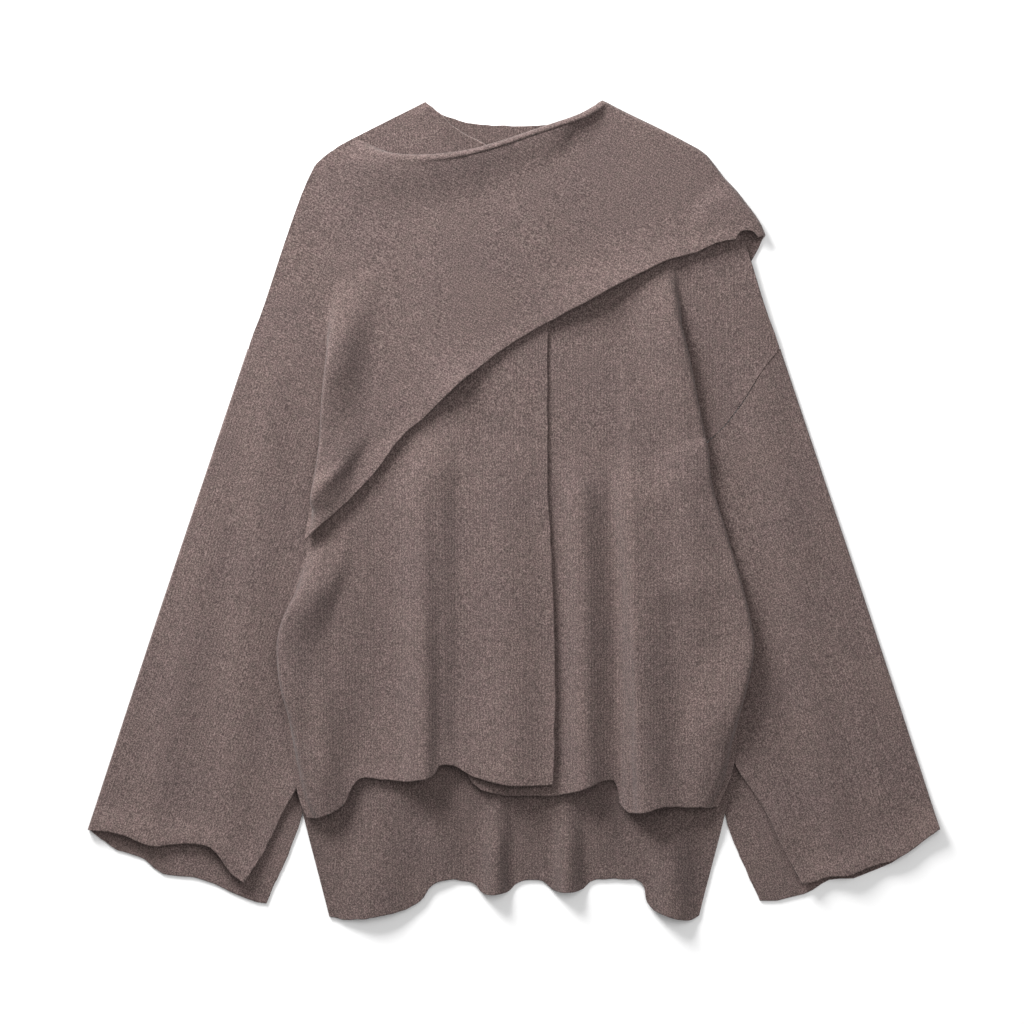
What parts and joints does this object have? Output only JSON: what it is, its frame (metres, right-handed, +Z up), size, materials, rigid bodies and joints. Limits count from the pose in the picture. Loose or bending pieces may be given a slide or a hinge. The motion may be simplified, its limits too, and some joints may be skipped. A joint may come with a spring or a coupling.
{
  "type": "knit jacket",
  "caption": "Boxy felted knit jacket laid flat: overlapping open fronts, a wide scarf panel folded over the neck and shoulder, long flared sleeves, longer back hem.",
  "frame": {"origin": "under the middle of the jacket's outline, on the surface that it lies on", "axes": "+X toward the wearer's left sleeve, +Y toward the neck, +Z up out of the surface, through the front"},
  "size_m": [0.784, 0.7538, 0.025],
  "materials": {
    "knit_back": "matte felted knit",
    "knit_front_right": "matte felted knit",
    "knit_front_left": "matte felted knit",
    "knit_sleeve_right": "matte felted knit",
    "knit_sleeve_left": "matte felted knit",
    "knit_scarf": "matte felted knit"
  },
  "bodies": {
    "root": {"back": "knit_back", "front_right": "knit_front_right", "front_left": "knit_front_left", "sleeve_right": "knit_sleeve_right", "sleeve_left": "knit_sleeve_left", "scarf": "knit_scarf"}
  },
  "joints": []
}
